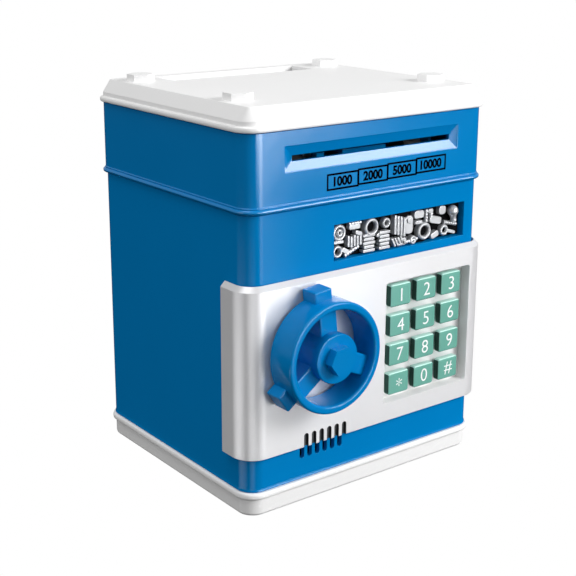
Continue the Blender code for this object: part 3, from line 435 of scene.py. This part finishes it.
def make_lower():
    """Blue lower casing: floor, door opening, window, vents, keeper, ears and screw posts."""
    profile = [(-WALL, LOWER_Z0), (0.35, LOWER_Z0), (0.3, LOWER_Z0 + 0.5), (0.0, LOWER_Z0 + 1.6),
               (0.0, LOWER_Z1), (-WALL, LOWER_Z1)]
    body = Solid("lower_casing", casing(LOWER_X, LOWER_Y, profile, True))
    body.join(block((1 - LOWER_X, 1 - LOWER_Y, CASH_FLOOR - 2),
                    (LOWER_X - 1, LOWER_Y - 1, CASH_FLOOR), corner=CORNER - 1))
    x0, x1, z0, z1 = WINDOW
    body.join(block((x0 - 2, 1.1 - LOWER_Y, z0 - 2), (x1 + 2, 7 - LOWER_Y, z1 + 2)))
    body.cut(block((x0, -LOWER_Y - 5, z0), (x1, 5 - LOWER_Y, z1)))
    body.cut(block((OPENING_X0, -LOWER_Y - 5, OPENING_Z0),
                   (LOWER_X + 5, OPENING_BACK, OPENING_Z1)))
    body.join(block((1 - LOWER_X, -52.0, WHEEL_Z - 8), (-57.9, -49.5, WHEEL_Z + 8)))
    for i in range(VENTS):
        body.cut(stadium(VENT_W, VENT_Z0, VENT_Z1, -LOWER_Y - 5, 4 - LOWER_Y),
                 (VENT_X0 + VENT_PITCH * i, 0, 0))
    for low in (DOOR_Z0 - EAR - SEAM, DOOR_Z1 + SEAM):
        body.join(block((LOWER_X - 1.1, HINGE_Y - BARREL_R, low),
                        (HINGE_X + BARREL_R, HINGE_Y + BARREL_R, low + EAR), edge=0.6))
        body.cut(rod(PIN_BORE, EAR + 4, 32), (HINGE_X, HINGE_Y, low - 2))
    for x, y in POST_PLACES:
        body.join(rod(5.0, CASH_FLOOR - LOWER_Z0 - 1), (x, y, LOWER_Z0))
        body.cut(rod(1.7, 12), (x, y, LOWER_Z0 - 1))
    body.finish(BLUE, "casing", "lower_body", bevel=0.25)


def funnel():
    """The note mouth's tapering recess as a cutter."""
    bm = bmesh.new()
    rings = []
    for y, grow, sides in ((-5, 0.4, MOUTH), (-0.4, 0.4, MOUTH), (0.3, -0.3, MOUTH),
                           (MOUTH_DEPTH, 0, SLOT), (MOUTH_DEPTH + 6, 0, SLOT)):
        x0, x1, z0, z1 = sides
        corners = ((x0 - grow, z0 - grow), (x1 + grow, z0 - grow), (x1 + grow, z1 + grow),
                   (x0 - grow, z1 + grow))
        rings.append([bm.verts.new((x * MM, (y - UPPER_Y) * MM, z * MM)) for x, z in corners])
    for first, second in zip(rings, rings[1:]):
        for i in range(4):
            j = (i + 1) % 4
            bm.faces.new((first[i], first[j], second[j], second[i]))
    bm.faces.new(rings[0][::-1])
    bm.faces.new(rings[-1])
    return mesh_of(bm)


def make_upper():
    """Blue upper casing with its bead and note mouth."""
    z0, z1 = UPPER_Z0, UPPER_Z1
    low_bead = bead(BEAD, z0 + 0.1, z0 + 2.4)
    profile = [(-WALL, z0)] + low_bead + [(0.35, z0 + 2.5), (0.35, z0 + 2.9), (0.0, z0 + 3.1),
                                          (0.0, z1), (-WALL, z1)]
    body = Solid("upper_casing", casing(UPPER_X, UPPER_Y, profile, True))
    deck = block((1 - UPPER_X, 1 - UPPER_Y, z0 + 0.2), (UPPER_X - 1, UPPER_Y - 1, z0 + 1.8),
                 corner=CORNER - 1)
    body.join(deck)
    body.cut(block((-54, -52, z0 - 8), (54, 54, z0 + 5), corner=3))
    x0, x1, low, high = MOUTH
    body.join(block((x0 - 3, 1.1 - UPPER_Y, low - 3),
                    (x1 + 3, MOUTH_DEPTH + 1.8 - UPPER_Y, high + 3)))
    body.cut(funnel())
    body.finish(BLUE_GLOSS, "casing", "upper_body", bevel=0.2)


def make_cover():
    """White hipped lid with flange, coin trough and four hexagonal bosses."""
    z0 = COVER_Z0
    outer = [(FLANGE - 0.9, z0), (FLANGE - 0.25, z0 + 0.3), (FLANGE, z0 + 0.9), (FLANGE, z0 + 1.7),
             (FLANGE - 0.3, z0 + 2.3), (FLANGE - 0.9, z0 + 2.5), (0.15, z0 + 2.55),
             (-0.05, z0 + 2.8), (0.0, z0 + 3.1), (0.0, EAVES_Z - 0.3), (-0.15, EAVES_Z)]
    top = [(-PLATEAU_INSET + 0.4, PLATEAU_Z - 0.14, 1.8), (-PLATEAU_INSET, PLATEAU_Z, 1.6)]
    inner = [(-8.0, EAVES_Z + 3), (-5.0, EAVES_Z + 0.5), (-WALL - 0.3, z0 + 3), (-WALL - 0.3, z0)]
    cover = Solid("lid", casing(UPPER_X, UPPER_Y, inner + outer + top, False))
    x0, x1, y0, y1 = COIN
    cover.join(block((x0 - 2, y0 - 2, PLATEAU_Z - 5.2), (x1 + 2, y1 + 2, PLATEAU_Z - 0.5)))
    cover.cut(trough())
    middle = (y0 + y1) / 2
    cover.cut(block((-COIN_SLIT_X, middle - COIN_SLIT_Y, PLATEAU_Z - 12),
                    (COIN_SLIT_X, middle + COIN_SLIT_Y, PLATEAU_Z), corner=1.5))
    for x, y in BOSS_PLACES:
        cover.join(rod(BOSS_R, BOSS_HEIGHT + 1, 6, BOSS_R - 0.2), (x, y, PLATEAU_Z - 1))
    cover.finish(WHITE, "casing", "top_cover", bevel=0.3, segments=3, angle=28)


def trough():
    """The coin recess with a ramp at each end, as a cutter."""
    x0, x1, y0, y1 = COIN
    ramp, depth = 7.0, 3.2
    bm = bmesh.new()
    bm.from_mesh(block((x0, y0, PLATEAU_Z - depth), (x1, y1, PLATEAU_Z + depth)))
    for vert in bm.verts:
        inwards = -1 if vert.co.z < PLATEAU_Z * MM else 1
        vert.co.x += math.copysign(ramp * MM * inwards, vert.co.x)
    return mesh_of(bm)


# ------------------------------------------------------------------ door
def make_door():
    """Silver door skin: corner wraps, chamfered top, pad recess, vent notches, hinge barrel."""
    rounder, chamfer, foot = 2.5, 2.2, 0.35
    profile = [(-foot, DOOR_Z0), (0.0, DOOR_Z0 + foot), (0.0, DOOR_Z1 - chamfer),
               (-chamfer, DOOR_Z1)]
    outer = [(outset + rounder, z) for outset, z in profile]
    mesh = casing(DOOR_X - rounder, -DOOR_Y - rounder, outer, False, 16)
    door = Solid("door_skin", mesh)
    inner_x = LOWER_X + DOOR_GAP
    door.cut(block((-inner_x, DOOR_Y + DOOR_THICK, DOOR_Z0 - 5), (inner_x, 90, DOOR_Z1 + 5),
                   corner=CORNER, segments=12))
    door.cut(block((-DOOR_X - 5, DOOR_BACK_Y, DOOR_Z0 - 5), (DOOR_X + 5, 100, DOOR_Z1 + 5)))
    x0, x1, z0, z1 = PAD
    floor = DOOR_Y + PAD_DEPTH
    door.join(block((x0 - 1.3, DOOR_Y + 1, z0 - 1.3), (x1 + 1.3, floor + 1.6, z1 + 1.3)))
    door.cut(block((x0, DOOR_Y - 5, z0), (x1, floor, z1), corner=1.5, axis="Y"))
    for name in KEY_TEXT:
        low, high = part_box(name)
        x, z = (low.x + high.x) / 2 / MM, (low.z + high.z) / 2 / MM
        door.cut(block((x - KEY_STEM_HOLE, floor - 2, z - KEY_STEM_HOLE),
                       (x + KEY_STEM_HOLE, floor + 4, z + KEY_STEM_HOLE)))
    door.cut(rod(3.4, 12), (WHEEL_X, DOOR_Y + 6, WHEEL_Z), (90, 0, 0))
    for i in range(VENTS):
        door.cut(stadium(VENT_W, DOOR_Z0 - 6, NOTCH_Z1, DOOR_Y - 5, DOOR_Y + 1.5),
                 (VENT_X0 + VENT_PITCH * i, 0, 0))
    door.join(rod(BARREL_R, DOOR_Z1 - DOOR_Z0, 48), (HINGE_X, HINGE_Y, DOOR_Z0))
    door.cut(rod(PIN_BORE, DOOR_Z1 - DOOR_Z0 + 4, 32), (HINGE_X, HINGE_Y, DOOR_Z0 - 2))
    skin = door.finish(SILVER, "door", "door_panel", bevel=0.3, segments=3)
    skin.data.materials.append(LINER)
    skin.data.materials.append(DARK_AND_PAINTED_SHADE)
    for face in skin.data.polygons:
        x, y, z = face.center / MM
        in_pad = x0 - 0.1 < x < x1 + 0.1 and z0 - 0.1 < z < z1 + 0.1
        notch_painted_shade = VENT_X0 - 2 < x < VENT_X0 + 24 and 28.3 < z < NOTCH_Z1 + 0.5
        if in_pad and DOOR_Y + 0.2 < y < floor + 0.2:
            face.material_index = 1
        # The shallow vent notches' floors are painted dark as shade, in place of deep slots.
        elif notch_painted_shade and DOOR_Y + 0.2 < y < DOOR_Y + 1.7:
            face.material_index = 2


def make_keys():
    """Rounded key caps on stems with a foot behind the door skin, and raised numerals."""
    for name, text in KEY_TEXT.items():
        low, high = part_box(name)
        low, high = low / MM, high / MM
        x, z = (low.x + high.x) / 2, (low.z + high.z) / 2
        half_w, half_h = (high.x - low.x) / 2, (high.z - low.z) / 2
        front, floor = low.y, DOOR_Y + PAD_DEPTH
        cap = Solid(name + "_cap", block((x - half_w, front, z - half_h),
                                         (x + half_w, floor - 1.4, z + half_h),
                                         corner=1.3, axis="Y", edge=0.75, segments=6))
        cap.join(block((x - KEY_STEM, front + 2, z - KEY_STEM),
                       (x + KEY_STEM, floor + 1.9, z + KEY_STEM)))
        cap.join(block((x - KEY_FOOT, floor + 1.9, z - KEY_FOOT),
                       (x + KEY_FOOT, floor + 2.9, z + KEY_FOOT)))
        shape = cap.finish(MINT, name, name)
        shape.data.materials.append(MINT_PAINTED_SHADE)
        shape.data.materials.append(MINT_PAINTED_HIGHLIGHT)
        for face in shape.data.polygons:
            # Faces looking sideways or down take the darker mint: painted shade.
            if abs(face.normal.x) > 0.8 or face.normal.z < -0.8:
                face.material_index = 1
            # Faces looking up take the paler mint: a painted highlight.
            elif face.normal.z > 0.5:
                face.material_index = 2
        write(name + "_numeral", text, (x + 0.3, front, z), 9.2, 0.1, NUMERAL, name,
              thin=-0.006)


def write(name, text, centre, size, height, material, body, thin=0.0):
    """Text standing height proud of a face that looks to -Y, as a mesh."""
    curve = bpy.data.curves.new(name, "FONT")
    curve.body = text
    curve.size = size * MM
    curve.extrude = height * MM
    curve.offset = thin * MM * size
    curve.resolution_u = 6
    guide = bpy.data.objects.new(name, curve)
    bpy.context.scene.collection.objects.link(guide)
    graph = bpy.context.evaluated_depsgraph_get()
    mesh = bpy.data.meshes.new_from_object(guide.evaluated_get(graph))
    bpy.data.objects.remove(guide, do_unlink=True)
    across = [v.co.x for v in mesh.vertices]
    up = [v.co.y for v in mesh.vertices]
    middle = Vector(((min(across) + max(across)) / 2, (min(up) + max(up)) / 2, 0))
    turn = Matrix.Rotation(math.radians(90), 4, "X")
    mesh.transform(Matrix.Translation(Vector(centre) * MM) @ turn @ Matrix.Translation(-middle))
    obj = bpy.data.objects.new(name, mesh)
    bpy.context.scene.collection.objects.link(obj)
    mesh.materials.clear()
    mesh.materials.append(material)
    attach(obj, body)
    return obj


# ------------------------------------------------------------------ handwheel
def make_wheel():
    """The handwheel: deep ring, set-back spokes, hub, hexagonal boss and grip tabs."""
    depth, r_out, r_in, lead = 14.9, 25.0, 21.4, 1.1
    quarter = [math.radians(15 * i) for i in range(7)]
    ring = [(r_in, 0.8)]
    ring += [(r_in + lead - lead * math.cos(a), depth - lead + lead * math.sin(a)) for a in quarter]
    ring += [(r_out - lead + lead * math.sin(a), depth - lead + lead * math.cos(a)) for a in quarter]
    ring += [(r_out, 0.8), (r_out - 0.8, 0), (r_in + 0.8, 0), (r_in, 0.8)]
    wheel = Solid("wheel", lathe(ring, 96))
    for angle in WHEEL_ANGLES:
        wheel.join(block((9, -4.7, 0.0), (22.9, 4.7, 11.1), corner=0.8, axis="X", segments=3),
                   (0, 0, 0), (0, 0, angle))
        wheel.join(block((23.2, -4.7, 0.0), (29.6, 4.7, 9.0), corner=0.8, axis="X", edge=0.6,
                         segments=4), (0, 0, 0), (0, 0, angle))
    hub = [(0, 15.3), (10.5, 15.3), (10.9, 15.2), (11.1, 14.9), (11.2, 14.4), (11.2, 0), (0, 0)]
    wheel.join(lathe(hub, 64))
    wheel.join(rod(6.8, 6.1, 6, 6.55), (0, 0, 13.3), (0, 0, WHEEL_ANGLES[0]))
    wheel.cut(rod(3.3, 10, 32), (0, 0, -1))
    stand = Matrix.Translation(Vector((WHEEL_X, WHEEL_BACK, WHEEL_Z)) * MM) @ Matrix.Rotation(
        math.radians(90), 4, "X")
    wheel.finish(BLUE, "wheel", "handwheel", bevel=0.4, segments=3, matrix=stand)


# ------------------------------------------------------------------ labels
def make_labels():
    """Four outlined values printed under the note mouth."""
    for i, value in enumerate(LABELS):
        x0, x1 = LABEL_SIDES[i], LABEL_SIDES[i + 1] + 0.6
        z0 = LABEL_Z0 + LABEL_RISE * i
        z1 = z0 + LABEL_TALL
        outline = Solid(f"label_{value}_outline",
                        block((x0, -UPPER_Y - 0.06, z0), (x1, -UPPER_Y + 0.3, z1)))
        outline.cut(block((x0 + LABEL_LINE, -UPPER_Y - 1, z0 + LABEL_LINE),
                          (x1 - LABEL_LINE, -UPPER_Y + 1, z1 - LABEL_LINE)))
        outline.finish(INK, "casing")
        write(f"label_{value}_numerals", value, ((x0 + x1) / 2, -UPPER_Y, (z0 + z1) / 2),
              5.6, 0.06, INK, "casing", thin=0.042)


def make_works():
    """The window's relief of made-up machinery: rings, fins, stacks, pipes and a lamp."""
    x0, x1, z0, z1 = WINDOW
    back = edge_of("picture_panel", 0, "Y")
    face = Matrix.Rotation(math.radians(90), 4, "X")

    def at(x, z, depth=0.0, turn=0.0):
        return Matrix.Translation(Vector((x, back - depth, z)) * MM) @ Matrix.Rotation(
            math.radians(turn), 4, "Y")

    def ring(x, z, outer, inner, height):
        lead = (outer - inner) / 3
        profile = [(inner, 0), (inner, height - lead), (inner + lead, height),
                   (outer - lead, height), (outer, height - lead), (outer, 0), (inner, 0)]
        return lathe(profile, 40), at(x, z) @ face

    def fin(x, z, width, tall, height, turn=0.0):
        return block((-width / 2, -height, -tall / 2), (width / 2, 0, tall / 2),
                     corner=min(width, tall) / 3, axis="Y", edge=0.2, segments=3), at(x, z, 0, turn)

    def pipe(x, z, radius, length, turn, depth=1.6):
        bumps = []
        pitch, waist = 1.5, radius * 0.72
        for i in range(int(length / pitch)):
            bumps += [(radius, pitch * i), (radius, pitch * i + 0.9), (waist, pitch * i + 1.0),
                      (waist, pitch * i + 1.4)]
        profile = [(0, bumps[0][1])] + bumps + [(0, bumps[-1][1])]
        return lathe(profile, 20), at(x, z, depth, turn)

    bright = [ring(-18.2, 122.0, 3.7, 2.2, 3.3), ring(-18.2, 122.0, 1.7, 0.6, 3.5),
              ring(-18.8, 113.4, 2.8, 1.5, 3.0), ring(0.4, 121.9, 4.1, 2.5, 3.5),
              ring(33.0, 115.2, 4.1, 2.5, 3.5), ring(26.2, 112.0, 2.0, 0.9, 3.2),
              ring(9.6, 122.4, 2.4, 1.1, 3.0), ring(46.2, 113.6, 2.6, 1.2, 3.0)]
    bright += [fin(-12.8 + 1.75 * i, 117.2 - 0.5 * (i % 2), 1.15, 5.0, 3.1) for i in range(5)]
    bright += [fin(-0.9, 111.3 + 1.75 * i, 7.0 - 0.8 * (i % 2), 1.35, 3.2) for i in range(5)]
    bright += [fin(8.2, 111.3 + 1.75 * i, 6.6 - 0.8 * (i % 2), 1.35, 3.3) for i in range(5)]
    bright += [fin(14.6 + 1.9 * i, 120.8 - 0.6 * i, 1.3, 9.0, 3.4) for i in range(4)]
    bright += [fin(14.2 + 1.8 * i, 112.6, 1.1, 4.6, 3.0, -28) for i in range(4)]
    bright += [fin(23.8, 119.4, 4.6, 8.4, 2.6), fin(23.8, 121.4, 3.0, 2.2, 3.3),
               fin(29.4, 123.6, 6.0, 3.6, 3.2), fin(29.2, 119.9, 4.4, 1.6, 3.4),
               fin(40.4, 119.4, 7.4, 3.4, 2.8, 14),
               fin(39.8, 112.4, 5.0, 2.6, 3.2, -20), fin(44.6, 123.5, 4.4, 4.0, 2.8),
               fin(-9.2, 123.4, 6.4, 2.2, 2.8), fin(-7.0, 120.3, 4.0, 1.8, 3.2, 20),
               fin(-14.0, 113.0, 4.6, 2.2, 2.6, 30), fin(5.2, 117.9, 3.4, 1.5, 3.0, -35),
               fin(20.6, 112.4, 2.6, 3.0, 3.0), fin(36.6, 124.2, 3.0, 1.8, 3.2),
               fin(50.6, 112.4, 5.4, 1.5, 3.0, 18), fin(-18.4, 117.7, 5.6, 1.3, 3.0)]
    bright += [pipe(-14.4, 110.8, 1.1, 9.0, 68), pipe(-12.2, 124.8, 1.0, 7.5, 90),
               pipe(35.0, 119.2, 1.1, 6.0, 0), pipe(37.6, 120.8, 1.0, 4.5, 0, 2.2),
               pipe(46.2, 117.4, 1.0, 9.0, 104), pipe(17.6, 110.9, 0.9, 12.0, 84, 2.0)]
    lamp = [(0, 5.4), (1.2, 5.2), (2.2, 4.4), (2.7, 3.2), (2.6, 2.0), (1.9, 0.8), (1.5, 0.0),
            (1.5, -0.8), (1.2, -0.9), (1.2, -1.3), (1.5, -1.4), (1.5, -2.2), (0, -2.6)]
    bright.append((lathe(lamp, 40), at(51.6, 119.6, 2.8, -10)))
    bright_works = Solid("works_bright", gathered(bright))
    bright_works.finish(CHROME, "casing", bevel=0.12)
    margin = 0.35
    dim = [(block((x0 + margin, back - 0.5, z0 + margin), (x1 - margin, back + 0.05, z1 - margin),
                  corner=0.6, axis="Y"), Matrix.Identity(4))]
    dim += [fin(-18.6, 117.6, 5.6, 2.2, 2.0), fin(5.4, 117.6, 3.6, 6.0, 1.6),
            fin(31.0, 110.9, 7.0, 1.7, 2.2), fin(51.0, 112.6, 9.0, 3.4, 1.8),
            fin(20.2, 123.9, 6.0, 3.2, 1.7), fin(-6.4, 117.2, 2.0, 3.0, 2.0)]
    dim += [(lathe([(0, 2.0), (1.9, 2.0), (2.3, 1.6), (2.3, 0), (0, 0)], 32), at(x, z) @ face)
            for x, z in ((0.4, 121.9), (33.0, 115.2))]
    dark_works = Solid("works_dark", gathered(dim))
    dark_works.finish(BLACK_CARD, "casing", bevel=0.1)


# ------------------------------------------------------------------ stage
# The view: angles in degrees, then metres, then parts of the frame's width.
AZIMUTH, ELEVATION, ROLL = -37.43, 14.91, 0.25
AIM_HEIGHT, DISTANCE = 0.10084, 0.5787
SHIFT = (-0.0016, -0.0747)

# Square area lights aimed at one point: name, place and side in metres, power in watts.
LIGHTS = (("key", (0.92, -1.18, 0.80), 0.7, 23), ("overhead", (-0.52, -0.1, 1.5), 0.8, 7),
          ("side", (-1.3, 0.05, 0.85), 0.7, 3.2), ("low", (0.55, -1.4, -0.2), 0.6, 4.8))
LIGHT_TARGET = (0, 0, 0.09)

# Cards that glossy faces mirror: azimuth and half width in degrees, the sines of their lowest
# and highest elevation, and their strength.
CARDS = ((15.5, 29.0, -0.215, 0.4, 16.5), (-36.0, 34.0, -0.7, -0.38, 6.0),
         (-100.0, 44.0, -0.7, -0.38, 4.2))


def make_camera():
    """The photograph's view: front left, a little above."""
    azimuth, elevation, roll = (math.radians(a) for a in (AZIMUTH, ELEVATION, ROLL))
    back = Vector((math.sin(azimuth) * math.cos(elevation),
                   -math.cos(azimuth) * math.cos(elevation), math.sin(elevation)))
    right = Vector((math.cos(azimuth), math.sin(azimuth), 0))
    up = back.cross(right)
    rolled_right = right * math.cos(roll) + up * math.sin(roll)
    rolled_up = up * math.cos(roll) - right * math.sin(roll)
    data = bpy.data.cameras.new("camera")
    data.lens = 73.9
    data.sensor_width = 36.0
    data.shift_x, data.shift_y = SHIFT
    data.clip_start = 0.01
    camera = bpy.data.objects.new("camera", data)
    bpy.context.scene.collection.objects.link(camera)
    place = Matrix.Translation(Vector((0, 0, AIM_HEIGHT)) + back * DISTANCE)
    camera.matrix_world = place @ Matrix((rolled_right, rolled_up, back)).transposed().to_4x4()
    bpy.context.scene.camera = camera


def softbox(name, place, side, power):
    """A square area light aimed at the middle of the object, unseen by the camera."""
    data = bpy.data.lights.new(name, "AREA")
    data.shape = "RECTANGLE"
    data.size, data.size_y = side, side
    data.energy = power
    light = bpy.data.objects.new(name, data)
    light.location = place
    aim = Vector(LIGHT_TARGET) - Vector(place)
    light.rotation_euler = aim.to_track_quat("-Z", "Y").to_euler()
    light.visible_camera = False
    bpy.context.scene.collection.objects.link(light)


def mapped(tree, source, low, high, to_low, to_high):
    """A value carried smoothly from one range to another."""
    step = node(tree, "ShaderNodeMapRange", {"From Min": low, "From Max": high, "To Min": to_low,
                                             "To Max": to_high}, interpolation_type="SMOOTHSTEP")
    tree.links.new(source, step.inputs["Value"])
    return step.outputs["Result"]


def combined(tree, operation, first, second):
    """Two values put together by a Math node."""
    step = node(tree, "ShaderNodeMath", operation=operation)
    tree.links.new(first, step.inputs[0])
    tree.links.new(second, step.inputs[1])
    return step.outputs["Value"]


def card(tree, direction, azimuth, spread, low, high, power):
    """A bright card in the surround, its light fading out at its edges."""
    angle = math.radians(azimuth)
    toward = node(tree, "ShaderNodeVectorMath", operation="DOT_PRODUCT")
    toward.inputs[1].default_value = (math.sin(angle), -math.cos(angle), 0)
    tree.links.new(direction, toward.inputs[0])
    reach = mapped(tree, toward.outputs["Value"], math.cos(math.radians(spread)),
                   math.cos(math.radians(spread * 0.35)), 0, power)
    height = node(tree, "ShaderNodeSeparateXYZ")
    tree.links.new(direction, height.inputs[0])
    above = mapped(tree, height.outputs["Z"], low, low + 0.07, 0, 1)
    below = mapped(tree, height.outputs["Z"], high, high + 0.15, 1, 0)
    return combined(tree, "MULTIPLY", reach, combined(tree, "MULTIPLY", above, below))


def make_surround():
    """A studio surround: bright at the horizon, dark below, with cards that glossy faces
    mirror, on a plain white backdrop."""
    world = bpy.data.worlds.new("studio")
    bpy.context.scene.world = world
    world.use_nodes = True
    tree = world.node_tree
    back = tree.nodes["Background"]
    back.inputs["Color"].default_value = (1, 1, 1, 1)
    place = node(tree, "ShaderNodeTexCoord")
    direction = place.outputs["Generated"]
    height = node(tree, "ShaderNodeSeparateXYZ")
    tree.links.new(direction, height.inputs[0])
    upper = mapped(tree, height.outputs["Z"], 0.0, 0.9, 0.56, 0.30)
    rise = mapped(tree, height.outputs["Z"], -0.16, 0.04, 0.02, 1.0)
    light = combined(tree, "MULTIPLY", upper, rise)
    path = node(tree, "ShaderNodeLightPath")
    for azimuth, spread, low, high, power in CARDS:
        glow = card(tree, direction, azimuth, spread, low, high, power)
        mirrored = combined(tree, "MULTIPLY", glow, path.outputs["Is Glossy Ray"])
        light = combined(tree, "ADD", light, mirrored)
    tree.links.new(light, back.inputs["Strength"])
    backdrop = node(tree, "ShaderNodeBackground", {"Color": (1, 1, 1, 1), "Strength": 1.0})
    choose = node(tree, "ShaderNodeMixShader")
    tree.links.new(path.outputs["Is Camera Ray"], choose.inputs[0])
    tree.links.new(back.outputs[0], choose.inputs[1])
    tree.links.new(backdrop.outputs[0], choose.inputs[2])
    tree.links.new(choose.outputs[0], tree.nodes["World Output"].inputs["Surface"])


def make_stage():
    """The surround and the four area lights."""
    bpy.context.scene.view_settings.view_transform = "Standard"
    make_surround()
    for name, place, side, power in LIGHTS:
        softbox(name, place, side, power)


def finish_plain_nodes():
    """Materials and fine rounding for the CAD nodes that stay as they are."""
    slots = {"blue_plastic": BLUE, "white_plastic": WHITE, "silver_plastic": SILVER,
             "mint_plastic": MINT, "dark_plastic": DARK_AND_PAINTED_SHADE, "grey_rubber": RUBBER, "steel": STEEL,
             "circuit_board": BOARD, "battery_sleeve": SLEEVE, "picture_print": BLACK_CARD,
             "gear_nylon": NYLON}
    for part in frame["record"]["subparts"]:
        obj = frame["nodes"][part["node"]]
        material = slots[part["material_slot"]]
        if not obj.data.materials:
            obj.data.materials.append(material)
        for i in range(len(obj.data.materials)):
            obj.data.materials[i] = material
        weld = obj.modifiers.new("weld", "WELD")
        weld.merge_threshold = 1e-5
        shade(obj, 0.12)


make_camera()
make_stage()
make_base()
make_lower()
make_upper()
make_cover()
make_door()
make_keys()
make_wheel()
make_labels()
make_works()
finish_plain_nodes()
